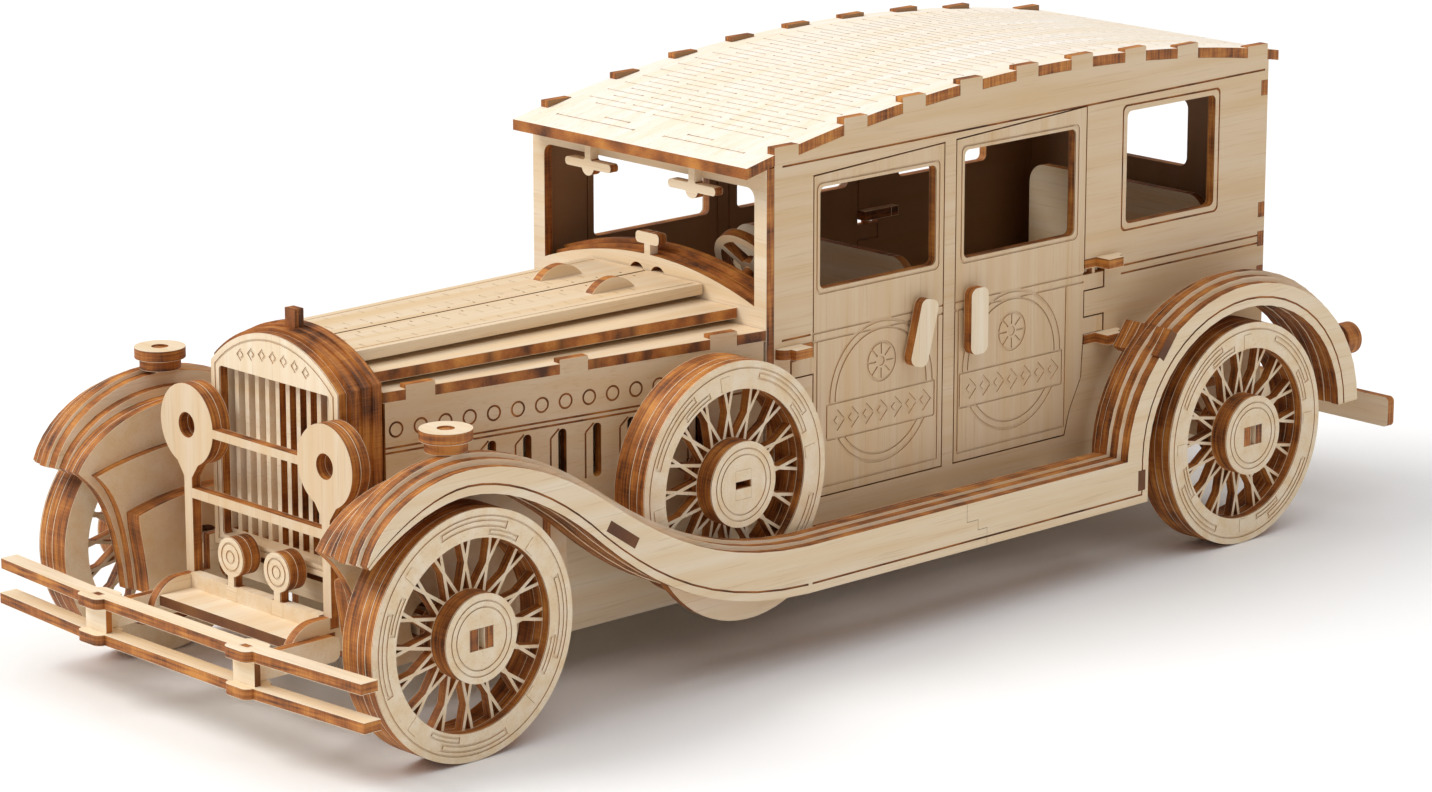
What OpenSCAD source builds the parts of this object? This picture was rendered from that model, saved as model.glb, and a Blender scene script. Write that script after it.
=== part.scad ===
// Laser-cut plywood kit of a vintage saloon car, about 1:16.
// Every piece is a flat plywood plate, and the plates slot into each other with tabs.
// +X is the front of the car, +Y its left side and +Z up. The origin is on the ground,
// halfway between the front face of the bumper and the back of the rear bumper.
// Inside the modules x = 0 is the front axle and z = 0 is the height of the axles.

/* [Plywood] */
// Thickness of the plywood sheet
ply = 2; // [1.8:0.1:2.4]
// Gap on each side of a tab in its slot
fit_gap = 0.05; // [0.02:0.01:0.15]
// Radial gap round each turning pin
pin_gap = 0.05; // [0.03:0.01:0.1]
// Gap round doors and bonnet flaps
door_gap = 0.3; // [0.25:0.05:0.5]
// Depth of the engraved lines
engrave = 0.25; // [0.1:0.05:0.4]
// Width of the engraved lines
line_w = 0.4; // [0.3:0.05:0.6]

/* [Wheels] */
// Diameter of the wheels
wheel_d = 45; // [40:1:54]
// Distance between the axles
wheelbase = 201; // [180:1:241]
// Plywood layers in one wheel
wheel_layers = 4; // [4:1:5]
// Width of the light ring on the face of the tyre
tyre_face_w = 5.2; // [4:0.1:6]
// Diameter of the hub cap
hub_d = 16; // [14:0.5:18]
// Crossing pairs of spokes in one wheel
spoke_pairs = 16; // [12:1:20]
// Width of one spoke
spoke_w = 0.6; // [0.5:0.05:0.8]
// Width of the hole for the two axle strips in the hub
axle_w = 5.4; // [5:0.1:6]
// Height of the axle strips
axle_h = 3.8; // [3:0.1:4.5]
// Diameter of the round bush on the axle
bush_d = 8; // [7.6:0.1:9]

/* [Body] */
// Width over the side panels
body_w = 64.8; // [54:0.2:78]
// Front axle back to the face of the windscreen frame
windscreen_back = 84; // [76:1:92]
// Rear axle back to the outer face of the rear panel
tail_back = 22.3; // [18:0.1:30]
// Height of the roof crown above the axles
roof_h = 77.8; // [70:0.2:86]
// Radius of the roof curve
roof_r = 370; // [300:10:450]
// How far the roof stands out in front of the windscreen
roof_peak = 5; // [3:0.5:8]
// Height of the window sills above the axles
sill_h = 43; // [40:0.5:46]
// Height of the belt line above the axles
belt_h = 34; // [32:0.5:36]
// Underside of the floor above the axles
floor_h = 5.5; // [5:0.1:7]
// Depth of the chassis rails below the axles
rail_drop = 15; // [12:0.5:16]
// Distance between the outer faces of the chassis rails
rail_gauge = 40.8; // [36:0.2:44]

/* [Doors] */
// Width of the front doors
front_door_w = 34.7; // [30:0.1:38]
// Width of the pillar between the doors
pillar_w = 2.9; // [2.5:0.1:6]
// Windscreen frame to the front door
cowl_w = 11.9; // [11:0.1:14]
// Bottom of the doors above the axles
door_low = 3; // [2:0.1:6]
// Top of the doors at the front door's front edge, above the axles
door_top = 64.8; // [60:0.2:67]
// Diameter of the door hinge pins
pin_d = 1.6; // [1.2:0.1:1.8]
// Length of the door handles
handle_l = 13; // [10:0.5:15]
// Width of the door handles
handle_w = 4.6; // [3.5:0.1:5.5]

/* [Bonnet] */
// Height of the bonnet top above the axles
bonnet_h = 43.5; // [41:0.5:46]
// Step down from each bonnet plate to the next
bonnet_step = 3; // [2.5:0.1:4]
// Width of the radiator front
radiator_w = 36; // [32:0.5:40]
// Height of the top of the radiator front above the axles
radiator_h = 45.5; // [44:0.5:48]
// Vertical bars in the grille
grille_bars = 10; // [8:1:12]
// Diameter of the headlamps
headlamp_d = 15.2; // [13:0.2:17]
// Height of the headlamps above the axles
headlamp_h = 26.3; // [24:0.2:28]
// Diameter of the fog lamps
foglamp_d = 7.2; // [6:0.2:8]

/* [Fenders] */
// Side panel to the outer face of the fenders
fender_w = 15.6; // [15:0.2:18]
// Plywood layers behind each outer fender plate
fender_layers = 5; // [4:1:5]
// Gap between the wheel and the fender's arch
arch_gap = 2.6; // [2:0.1:4]
// Height of the outer fender plate over the arch
fender_h = 4.5; // [4:0.1:6]
// Top of the running board above the axles
board_h = 0.4; // [-1:0.1:1]
// Depth of the outer running board plate
board_deep = 9; // [7:0.5:10]

/* [Bumpers] */
// Length of the front bumper
bumper_l = 104; // [90:1:116]
// Front axle to the front of the bumper clips
bumper_front = 31.5; // [29:0.5:36]
// Depth of a bumper bar from front to back
bumper_deep = 3.6; // [3:0.1:4.5]
// Length of the rear bumper
rear_bumper_l = 92; // [80:1:100]
// Rear axle to the back of the rear bumper
rear_overhang = 49; // [44:0.5:54]

/* [Hidden] */
$fn = 64;

// Ground, axles and the two ends of the car
wheel_r = wheel_d / 2;
wheel_t = wheel_layers * ply;
hub_proud = ply;
peg_proud = 0.15;
spoke_out_r = wheel_r - tyre_face_w;
axle_front_x = (wheelbase + rear_overhang - bumper_front) / 2;
half_w = body_w / 2;
rail_y = rail_gauge / 2;
fender_out = half_w + fender_w;
stack_in = fender_out - (fender_layers + 1) * ply;

// Stations along the car
tail_x = -wheelbase - tail_back;
screen_x = -windscreen_back;
cabin_x = screen_x - ply;
door_a_front = screen_x - cowl_w;
door_a_back = door_a_front - front_door_w;
door_b_front = door_a_back - pillar_w;
door_b_back = -wheelbase + 31;
quarter_x = door_b_back - 11.5;
roof_cx = -wheelbase + 39;
tab_l = 6;
roof_tab_pitch = (screen_x - tail_x - 47.3) / 6;
roof_tab_x = concat(
    [screen_x - 5.1],
    [for (i = [0 : 6]) screen_x - 22.8 - i * roof_tab_pitch],
    [tail_x + 3.4]
);
floor_tab_x = [cabin_x - 8, door_b_back - 14, tail_x + 12];
outrigger_x = [screen_x - 14, (screen_x - wheelbase) / 2 + 12, -wheelbase + 41];
front_outrigger_x = -1.25 * wheel_r;
outrigger_low = 8.5;

// Panels, door line and hinges
panel_low = -2.5;
line_slope = 0.046;
rear_finger_z = [belt_h - 8.6, belt_h - 1.5, belt_h + 4.5, belt_h + 29.5];
hinge_a = belt_h - 2.5;
hinge_b = belt_h + 1.7;
hinge_off = 2.8;
finger_l = 5.3;
hinge_plate_l = 9.5;
handle_pin_r = 1.1;
handle_a = [door_a_back + 7.3, belt_h - 1];
handle_b = [door_b_front - 4.2, belt_h - 1];

// Windscreen
screen_low = sill_h + 3.5;
screen_top = sill_h + 20.5;
column_r = 1;

// Bonnet and radiator
shell_back_x = -3;
hood_front_y = radiator_w / 2 + 2.6;
hood_angle = atan2(half_w - 0.1 - hood_front_y, shell_back_x - screen_x);
hood_l = (shell_back_x - screen_x) / cos(hood_angle);
shelf_low = bonnet_h - 2 * bonnet_step - ply;
bonnet_tab_u = [4.7, 36.8, 69.4];
flap_z = bonnet_h - ply / 2;
flap_pin_y = 2.9;
flap_pin_w = 3.6;
flap_hole_r = norm([flap_pin_w / 2, ply / 2]) + pin_gap;
grip_x = screen_x + 16;
grip_y = 7.3;
grille_w = radiator_w - 4.6;
grille_top = radiator_h - 8.2;
spare_x = screen_x + 15.1;
spare_z = 13;
spare_u = (shell_back_x - spare_x) / cos(hood_angle);
outrigger_u = (shell_back_x - front_outrigger_x) / cos(hood_angle);

// Lamps, cross plates and bumpers
lamp_x = 7.5;
lamp_y = rail_y - 0.7;
lens_r = 2.35;
cross_x = 8.4;
cross_top = -0.7;
nose_top = -0.9;
nose_low = -7.4;
foglamp_y = 6.6;
foglamp_h = 4.6;
bumper_z = -3.6;
bar_drop = 6.7;
clip_y = rail_y + 1;
tail_lamp_x = -wheelbase - 40;

// Fender curves
arch = wheel_r + arch_gap;
crown = arch + fender_h;
rear_arch_gap = arch_gap + 0.7;
rear_arch_x = wheel_r + 6.2;
board_front = windscreen_back - 4;
joint_x = -wheelbase + 79.5;
lamp_top = crown + 1.85 + 2 * ply;

// Colours
wood_top = "#FBF1E4";
wood_front = "#FAE8D2";
wood_side = "#D8C4A2";
wood_edge = "#9A5A24";

// ---------- helpers ----------

// From the axle frame to the finished frame
module car() {
    translate([axle_front_x, 0, wheel_r]) children();
}

// Upright plate along the car: the outline is drawn in x and z, from y outwards
module plate_y(y, t = ply) {
    translate([0, y + t, 0]) rotate([90, 0, 0]) linear_extrude(t) children();
}

// Upright plate across the car: the outline is drawn in y and z, from x forwards
module plate_x(x, t = ply) {
    translate([x, 0, 0]) rotate([90, 0, 90]) linear_extrude(t) children();
}

// Level plate: the outline is drawn in x and y, from z upwards
module plate_z(z, t = ply) {
    translate([0, 0, z]) linear_extrude(t) children();
}

// The same piece on the left and on the right
module both_sides() {
    children();
    mirror([0, 1, 0]) children();
}

module on_side(side) {
    mirror([0, side == "left" ? 0 : 1, 0]) children();
}

// Rectangle from one corner to the opposite one
module box2(x0, z0, x1, z1) {
    translate([min(x0, x1), min(z0, z1)]) square([abs(x1 - x0), abs(z1 - z0)]);
}

// Rectangle with round corners, made of squares and circles
module round_box2(x0, z0, x1, z1, r) {
    box2(x0 + r, z0, x1 - r, z1);
    box2(x0, z0 + r, x1, z1 - r);
    for (x = [x0 + r, x1 - r], z = [z0 + r, z1 - r]) translate([x, z]) circle(r);
}

// Line of even width between two points
module stroke2(a, b, w = line_w) {
    d = b - a;
    translate(a) rotate(atan2(d[1], d[0])) translate([0, -w / 2]) square([norm(d), w]);
}

module ring2(r, w = line_w) {
    difference() {
        circle(r + w / 2);
        circle(r - w / 2);
    }
}

// Points on a cubic curve with four handles
function curve(p, n = 10) = [
    for (i = [0 : n]) let (t = i / n, u = 1 - t)
        u * u * u * p[0] + 3 * u * u * t * p[1] + 3 * u * t * t * p[2] + t * t * t * p[3]
];

// Points on an ellipse from angle a to angle b
function oval(cx, cz, rx, rz, a, b, n = 24) = [
    for (i = [0 : n]) let (w = a + (b - a) * i / n) [cx + rx * cos(w), cz + rz * sin(w)]
];

function backwards(p) = [for (i = [len(p) - 1 : -1 : 0]) p[i]];

function roof_z(x) = roof_h - roof_r + sqrt(roof_r * roof_r - (x - roof_cx) * (x - roof_cx));
function door_line(x) = door_top + (door_a_front - x) * line_slope;

// ---------- chassis ----------

module rail_outline() {
    difference() {
        union() {
            box2(6, -9, tail_x - 2, floor_h);
            box2(-14, -rail_drop, -wheelbase + 26, 0);
            box2(12.5, nose_low, 6, nose_top);
            translate([12.5, nose_low]) intersection() {
                circle(nose_top - nose_low);
                square(20);
            }
            box2(tail_x, -7, -wheelbase - rear_overhang + ply, -1.5);
            box2(tail_x, -5.5, -wheelbase - rear_overhang, -3);
        }
        for (x = [0, -wheelbase]) translate([x, 0]) circle(d = bush_d + 2 * pin_gap);
        // notch for the lamp post
        box2(lamp_x - fit_gap, nose_top - 2.1, lamp_x + ply + fit_gap, 20);
        // slots for the cross plates
        box2(cross_x - fit_gap, -5.3 - fit_gap, cross_x + ply + fit_gap, -3.7 + fit_gap);
        box2(12 - fit_gap, -5.5 - fit_gap, 15.5 + fit_gap, -3.5 + fit_gap);
        for (x = outrigger_x) box2(x - fit_gap, -9 - fit_gap, x + ply + fit_gap, -2.6 + fit_gap);
    }
}

module chassis_rail(side) {
    color(wood_side) car() on_side(side) plate_y(rail_y - ply) rail_outline();
}

module floor_plate() {
    color(wood_top) car() {
        plate_z(floor_h) {
            box2(cabin_x - 0.01, -half_w + ply + fit_gap, tail_x + ply + fit_gap, half_w - ply - fit_gap);
            polygon([
                [-6, -hood_front_y + 2.2], [-6, hood_front_y - 2.2],
                [cabin_x, half_w - ply - 0.6], [cabin_x, -half_w + ply + 0.6]
            ]);
            for (x = floor_tab_x) box2(x, -half_w, x + tab_l, half_w);
        }
    }
}

module front_cross_plates() {
    color(wood_front) car() {
        // upright plate between the chassis horns, with the feet of the fog lamps in its notches
        plate_x(cross_x) difference() {
            union() {
                box2(-rail_y + ply + fit_gap, -5.5, rail_y - ply - fit_gap, cross_top);
                box2(-rail_y, -5.3, rail_y, -3.7);
            }
            for (y = [-foglamp_y, foglamp_y]) box2(y - 1.6 - fit_gap, -3.4, y + 1.6 + fit_gap, 5);
        }
        // level plate in front of it
        plate_z(-5.5) {
            box2(cross_x + ply, -rail_y + ply + fit_gap, 17.5, rail_y - ply - fit_gap);
            box2(12, -rail_y, 15.5, rail_y);
        }
        // outriggers that carry the running boards
        for (x = outrigger_x) plate_x(x) box2(-stack_in, -9, stack_in, -2.6);
        both_sides() plate_x(front_outrigger_x)
            box2(hood_front_y - 1, outrigger_low, stack_in, outrigger_low + 6);
    }
}

// ---------- body shell ----------

module arch_cut(lift) {
    arch_r = 86;
    intersection() {
        translate([0, screen_low + lift - arch_r]) circle(arch_r);
        box2(-half_w - 5, -20, half_w + 5, 90);
    }
}

module windscreen_frame() {
    color(wood_front) car() plate_x(cabin_x) difference() {
        box2(-half_w, floor_h + ply, half_w, roof_z(cabin_x) - ply - 0.4);
        difference() {
            round_box2(-half_w + 3.2, 30, half_w - 3.2, screen_top, 2);
            arch_cut(0);
        }
        for (y = [-flap_pin_y, flap_pin_y]) translate([y, flap_z]) circle(flap_hole_r);
    }
}

module dashboard() {
    color(wood_edge) car() for (i = [1, 2]) difference() {
        plate_x(cabin_x - i * ply) intersection() {
            box2(-half_w + ply + 2.3, 22, half_w - ply - 2.3, 60);
            arch_cut(0.7 * i);
        }
        steering_place() translate([0, 0, -20]) cylinder(r = column_r + pin_gap, h = 40);
    }
}

module door_shape(f, b, e, slant) {
    low = door_low + e;
    polygon(concat(
        [[f - e, low], [f - e, door_line(f) - e], [b + e, door_line(b) - e]],
        slant ? [[b + e, 22], [b + e + 0.5, 14], [b + e + 3.6, 8], [b + e + 5, low]] : [[b + e, low]]
    ));
}

// Hinge fingers of a door: dir is +1 when the hinge is in front of the door
module door_fingers(x, dir, p, e, reach) {
    for (z = [[p - 4.2, p - 1.2], [p - 13, p - 9.8]])
        box2(x - dir * 1, z[0] - e, x + dir * reach, z[1] + e);
}

module window_shape(x0, x1, top, e = 0) {
    round_box2(min(x0, x1) + e, sill_h + e, max(x0, x1) - e, top - e, 1.2);
}

// Everything cut out of the side panel for one door
module door_cut(f, b, dir, p, slant) {
    x = dir > 0 ? f : b;
    door_shape(f, b, 0, slant);
    door_fingers(x, dir, p, door_gap, finger_l + 0.45);
    box2(x - dir, p - 2, x + dir * (finger_l + 0.45), p);
    box2(x - dir, p - 13, x + dir * (finger_l + 0.45), p - 13.2);
    for (z = [p, p - 15.2])
        box2(x - dir, z - fit_gap, x + dir * (hinge_plate_l + fit_gap), z + ply + fit_gap);
}

module side_panel(side) {
    roof_pts = [
        for (i = [0 : 24]) let (x = cabin_x + (tail_x - cabin_x) * i / 24) [x, roof_z(x) - ply - 0.05]
    ];
    color(wood_side) car() on_side(side) difference() {
        plate_y(half_w - ply) difference() {
            union() {
                polygon(concat([[cabin_x, panel_low]], roof_pts, [[tail_x, panel_low]]));
                for (x = roof_tab_x) box2(x - tab_l / 2, 50, x + tab_l / 2, roof_z(x) + 0.7);
            }
            door_cut(door_a_front, door_a_back, 1, hinge_a, false);
            door_cut(door_b_front, door_b_back, -1, hinge_b, true);
            window_shape(quarter_x, tail_x + 15.8, sill_h + 22.5);
            // clear of the rear axle
            translate([-wheelbase, 0]) circle(4.6);
            for (z = rear_finger_z) box2(tail_x - 1, z, tail_x + ply + fit_gap, z + 3 + 2 * fit_gap);
            for (x = floor_tab_x)
                box2(x - fit_gap, floor_h - fit_gap, x + tab_l + fit_gap, floor_h + ply + fit_gap);
        }
        // engraved lines
        plate_y(half_w - engrave, 1) {
            stroke2([cabin_x - 2, door_top + 2.7], [tail_x + 1, door_top + 3.9]);
            for (dz = [-0.8, 0.8]) {
                stroke2([door_b_back - 10.5, belt_h + dz], [tail_x, belt_h + dz]);
                stroke2([cabin_x - 2, belt_h + dz], [door_a_front + 0.5, belt_h + dz]);
            }
            difference() {
                window_shape(quarter_x, tail_x + 15.8, sill_h + 22.5, -1.4);
                window_shape(quarter_x, tail_x + 15.8, sill_h + 22.5, -1);
            }
        }
    }
}

module rear_panel() {
    inner = half_w - ply - fit_gap;
    color(wood_side) car() plate_x(tail_x) difference() {
        union() {
            box2(-inner, panel_low, inner, roof_z(tail_x) - ply - 0.3);
            for (z = rear_finger_z) box2(-half_w, z + fit_gap, half_w, z + 3 + fit_gap);
        }
        round_box2(-13, sill_h + 3, 13, sill_h + 17, 2);
        for (y = [-rail_y, rail_y - ply]) box2(y - fit_gap, -8, y + ply + fit_gap, floor_h + fit_gap);
    }
}

module roof_section() {
    translate([roof_cx, roof_h - roof_r]) difference() {
        circle(roof_r, $fn = 200);
        circle(roof_r - ply, $fn = 200);
    }
}

module roof() {
    color(wood_top) car() difference() {
        plate_y(-half_w, body_w) intersection() {
            roof_section();
            box2(screen_x + roof_peak, 40, tail_x - 3, roof_h + 5);
        }
        for (x = roof_tab_x, y = [-half_w - 1, half_w - ply - fit_gap])
            translate([x - tab_l / 2 - fit_gap, y, 40]) cube([tab_l + 2 * fit_gap, ply + 1 + fit_gap, 60]);
    }
}

// ---------- doors ----------

module hinge_plate(x, dir, z, out) {
    plate_z(z) difference() {
        union() {
            box2(x, half_w - ply - 2, x + dir * hinge_plate_l, half_w);
            if (out > 0) {
                box2(x + dir * (hinge_off + 0.4), half_w - 1, x + dir * (hinge_plate_l - 2), half_w + out);
                translate([x + dir * (hinge_plate_l - 2), half_w]) intersection() {
                    circle(min(out, 2));
                    box2(0, 0, dir * 4, 4);
                }
            }
        }
        translate([x + dir * hinge_off, half_w - ply / 2]) circle(pin_d / 2 + pin_gap);
    }
}

module door_hinge_plates() {
    color(wood_top) car() both_sides() {
        hinge_plate(door_a_front, 1, hinge_a, 3.4);
        hinge_plate(door_a_front, 1, hinge_a - 15.2, 0);
        hinge_plate(door_b_back, -1, hinge_b, 3.4);
        hinge_plate(door_b_back, -1, hinge_b - 15.2, 3.4);
    }
}

// Round badge with a plain ribbon across it
module badge2(r) {
    difference() {
        union() {
            ring2(r, 0.6);
            ring2(r - 1.5, 0.4);
        }
        box2(-r - 1, -0.53 * r, r + 1, -0.03 * r);
    }
    for (z = [-0.53 * r, -0.03 * r]) stroke2([-1.05 * r, z], [1.05 * r, z]);
    for (x = [-1.05 * r, 1.05 * r]) stroke2([x, -0.53 * r], [x, -0.03 * r]);
    for (i = [-3 : 3]) translate([i * 0.28 * r, -0.28 * r]) rotate(45) difference() {
        square(0.22 * r, center = true);
        square(0.08 * r, center = true);
    }
    // a plain spoked wheel over the ribbon
    translate([0, 0.42 * r]) {
        ring2(0.27 * r, 0.6);
        circle(0.07 * r);
        for (a = [0 : 45 : 315]) rotate(a) stroke2([0.1 * r, 0], [0.26 * r, 0], 0.35);
    }
}

module door(f, b, dir, p, slant, badge_x, handle_x, handle_z) {
    x = dir > 0 ? f : b;
    w0 = f - (slant ? 2.4 : 1.8);
    w1 = b + (slant ? 3.2 : 2.3);
    top = min(door_line(f), door_line(b)) - 2.5;
    line0 = f - 1.1;
    line1 = b + (slant ? 5.4 : 1.6);
    difference() {
        union() {
            plate_y(half_w - ply) difference() {
                union() {
                    door_shape(f, b, door_gap, slant);
                    difference() {
                        door_fingers(x, dir, p, 0, finger_l);
                        box2(x - dir * 2, -50, x - dir * 1.2, 90);
                    }
                }
                window_shape(w0, w1, top);
                translate([handle_x, handle_z]) circle(handle_pin_r + pin_gap);
            }
            for (z = [[p - 1.2, p + ply], [p - 15.2, p - 13]])
                translate([x + dir * hinge_off, half_w - ply / 2, z[0]]) cylinder(d = pin_d, h = z[1] - z[0]);
        }
        plate_y(half_w - engrave, 1) {
            difference() {
                window_shape(w0, w1, top, -1);
                window_shape(w0, w1, top, -0.6);
            }
            for (dz = [-0.8, 0.8]) stroke2([f - door_gap, belt_h + dz], [b + door_gap, belt_h + dz]);
            stroke2([line0, belt_h - 1], [line0, door_low + 2]);
            stroke2([line1, belt_h - 1], [line1, door_low + 2]);
            stroke2([line0 + line_w / 2, door_low + 2], [line1 - line_w / 2, door_low + 2]);
            translate([badge_x, 21]) badge2(13.6);
        }
    }
}

module door_front(side) {
    color(wood_side) car() on_side(side)
        door(door_a_front, door_a_back, 1, hinge_a, false, door_a_front - 18, handle_a[0], handle_a[1]);
}

module door_rear(side) {
    color(wood_side) car() on_side(side)
        door(door_b_front, door_b_back, -1, hinge_b, true, door_b_front - 15.9, handle_b[0], handle_b[1]);
}

// Turning latch handle on a round pin, with a washer on the inside of the door
module handle(at, tilt) {
    translate([at[0], 0, at[1]]) {
        plate_y(half_w + 0.8, ply) rotate(tilt)
            round_box2(-handle_w / 2, -handle_l * 0.65, handle_w / 2, handle_l * 0.35, 1.6);
        plate_y(half_w + 0.15, 0.65) circle(handle_pin_r + 0.7);
        plate_y(half_w - ply - 2.2, ply + 2.4) circle(handle_pin_r);
        plate_y(half_w - ply - 2.2, 2) circle(handle_pin_r + 1.1);
    }
}

module handle_front(side) {
    color(wood_front) car() on_side(side) handle(handle_a, 15);
}

module handle_rear(side) {
    color(wood_front) car() on_side(side) handle(handle_b, 0);
}

// ---------- cabin ----------

module seat(x, w) {
    top = floor_h + ply + 11;
    plate_z(top) round_box2(x - 19, -w, x, w, 2);
    plate_x(x - 19 - ply) difference() {
        round_box2(-w, floor_h + ply, w, top + 24, 4);
        box2(-w - 1, 0, w + 1, floor_h + ply);
    }
    for (y = [-w + 4, w - 4 - ply]) plate_y(y) box2(x - 18, floor_h + ply, x - 1.5, top);
}

module front_seat() {
    color(wood_top) car() seat(door_a_front - 14, half_w - 8.4);
}

module rear_seat() {
    color(wood_top) car() seat(-wheelbase + 6, half_w - 8.4);
}

// Moves the z axis onto the steering column
module steering_place() {
    translate([cabin_x - ply, 15.5, 39.5]) rotate([0, -60, 0]) children();
}

module steering_wheel() {
    color(wood_edge) car() steering_place() {
        difference() {
            union() {
                translate([0, 0, 9]) linear_extrude(ply) {
                    difference() {
                        circle(8.5);
                        circle(6.9);
                    }
                    circle(2.2);
                    for (a = [45 : 90 : 315]) rotate(a) stroke2([1.5, 0], [7.2, 0], 1.2);
                }
                translate([0, 0, -1.5]) cylinder(r = column_r, h = 11);
            }
            translate([0, 0, 9 + ply - engrave]) cylinder(r = 1, h = 1);
        }
    }
}

module mirror_piece() {
    color(wood_top) car() plate_x(cabin_x) {
        box2(-0.8, screen_low, 0.8, screen_low + 3);
        round_box2(-3.2, screen_low + 2, 3.2, screen_low + 4.2, 0.8);
    }
}

module sun_visors() {
    top = roof_z(screen_x + 1) - ply - 0.4;
    color(wood_top) car() both_sides() plate_x(screen_x) {
        box2(13.6, 61.5, 15.2, top);
        round_box2(8, 61, 20.8, 62.6, 0.7);
        translate([14.4, 61.4]) circle(1.7);
    }
}

// ---------- bonnet ----------

// Drawing plane along a bonnet side: x runs backwards from the radiator, y inwards
module bonnet_place() {
    translate([shell_back_x, hood_front_y, 0]) rotate([0, 0, 180 - hood_angle]) children();
}

module bonnet_side(side) {
    color(wood_side) car() on_side(side) bonnet_place() difference() {
        plate_y(0) difference() {
            union() {
                box2(0.4, floor_h, hood_l - 0.5, shelf_low);
                for (u = bonnet_tab_u) box2(u, shelf_low - 3, u + tab_l, shelf_low + ply + 0.7);
            }
            for (i = [0 : 6]) round_box2(21.4 + 7.45 * i, 15.5, 23.2 + 7.45 * i, 25.5, 0.85);
            box2(
                spare_u - axle_h / 2 - 0.5, spare_z - axle_w / 2 - 0.2,
                spare_u + axle_h / 2 + 0.5, spare_z + axle_w / 2 + 0.2
            );
            box2(
                outrigger_u - ply - 0.6, outrigger_low - fit_gap,
                outrigger_u + 0.6, outrigger_low + 6 + fit_gap
            );
        }
        translate([0, -1 + engrave, 0]) plate_y(0, 1) {
            for (i = [0 : 15]) translate([2.6 + 5.05 * i, shelf_low - 5]) ring2(1.3);
            for (z = [26.4, 27.3]) stroke2([0.4, z], [hood_l - 0.5, z]);
            for (i = [0 : 6]) translate([21.4 + 7.45 * i, 0]) {
                stroke2([-1.6, 15.5], [-1.6, 24]);
                stroke2([-1.6, 24], [0.2, 25.6]);
            }
        }
    }
}

module bonnet_shelves() {
    gap = 0.15;
    color(wood_top) car() both_sides() {
        // lower shelf, with slots for the tabs of the side
        difference() {
            plate_z(shelf_low) polygon([
                [shell_back_x - gap, 13.5], [shell_back_x - gap, hood_front_y],
                [screen_x + gap, half_w], [screen_x + gap, 17.5]
            ]);
            bonnet_place() for (u = bonnet_tab_u)
                translate([u - fit_gap, -1, 0]) cube([tab_l + 2 * fit_gap, ply + 1 + fit_gap, 60]);
        }
        // rib that carries the middle shelf
        bonnet_rib(13.3, 17.3, floor_h + 8, shelf_low + bonnet_step);
        // middle shelf
        plate_z(shelf_low + bonnet_step) polygon([
            [shell_back_x - gap, 9.6], [shell_back_x - gap, 17.4],
            [screen_x + gap, 24.7], [screen_x + gap, 12.6]
        ]);
        // rib that the flap rests on
        bonnet_rib(9.4, 12.4, floor_h + 8, flap_z - ply / 2 - 0.15);
    }
}

// Upright rib from the radiator to the windscreen, its outer face at y0 in front and y1 behind
module bonnet_rib(y0, y1, z0, z1) {
    run = shell_back_x - screen_x - 0.4;
    a = atan2(y1 - y0, run);
    translate([shell_back_x - 0.2, y0, 0]) rotate([0, 0, 180 - a])
        plate_y(0) box2(0, z0, run / cos(a) - 0.5, z1);
}

module bonnet_flap(side) {
    z = flap_z - ply / 2;
    color(wood_top) car() on_side(side) {
        difference() {
            plate_z(z) {
                polygon([
                    [shell_back_x - door_gap, door_gap], [shell_back_x - door_gap, 13],
                    [screen_x + door_gap, 15.6], [screen_x + door_gap, door_gap]
                ]);
                box2(
                    cabin_x + 0.1, flap_pin_y - flap_pin_w / 2,
                    shell_back_x + ply - 0.1, flap_pin_y + flap_pin_w / 2
                );
            }
            plate_z(z - 1, ply + 2)
                box2(grip_x - 3, grip_y - ply / 2 - fit_gap, grip_x + 3, grip_y + ply / 2 + fit_gap);
            translate([0, 0, z + ply - engrave]) linear_extrude(1) {
                stroke2([shell_back_x - 1, 11.4], [screen_x + 1, 13.8]);
                for (i = [0 : 12]) stroke2([-7 - 6 * i, 1.5], [-7 - 6 * i, 2.3]);
            }
        }
        // half-oval finger grip in its slot
        plate_y(grip_y - ply / 2) {
            intersection() {
                translate([grip_x, z + ply - 4.6]) circle(7);
                box2(grip_x - 7, z + ply, grip_x + 7, z + ply + 8);
            }
            box2(grip_x - 3 + fit_gap, z, grip_x + 3 - fit_gap, z + ply + 0.1);
        }
    }
}

// ---------- radiator and lamps ----------

// Radiator outline: straight sides, round shoulders and a low arch on top
module radiator2(w, top) {
    shoulder = 7.6;
    arch_r = ((w / 2) * (w / 2) + shoulder * shoulder) / (2 * shoulder);
    intersection() {
        box2(-w / 2, floor_h, w / 2, top + 1);
        translate([0, top - arch_r]) circle(arch_r);
    }
    box2(-rail_y + ply + 0.3, 4, rail_y - ply - 0.3, floor_h + 1);
}

module radiator_shell() {
    color(wood_edge) car() for (i = [0 : 2]) plate_x(shell_back_x + i * ply) difference() {
        radiator2(radiator_w + 4.6 - 0.7 * i, radiator_h + 1.2 - 0.3 * i);
        if (i == 0) {
            for (y = [-flap_pin_y, flap_pin_y]) translate([y, flap_z]) circle(flap_hole_r);
        }
        if (i == 1) round_box2(-grille_w / 2, 7, grille_w / 2, grille_top, 1);
        if (i == 2)
            box2(-grille_w / 2 - 1 - fit_gap, 5.5, grille_w / 2 + 1 + fit_gap, grille_top + 1 + fit_gap);
    }
}

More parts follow.
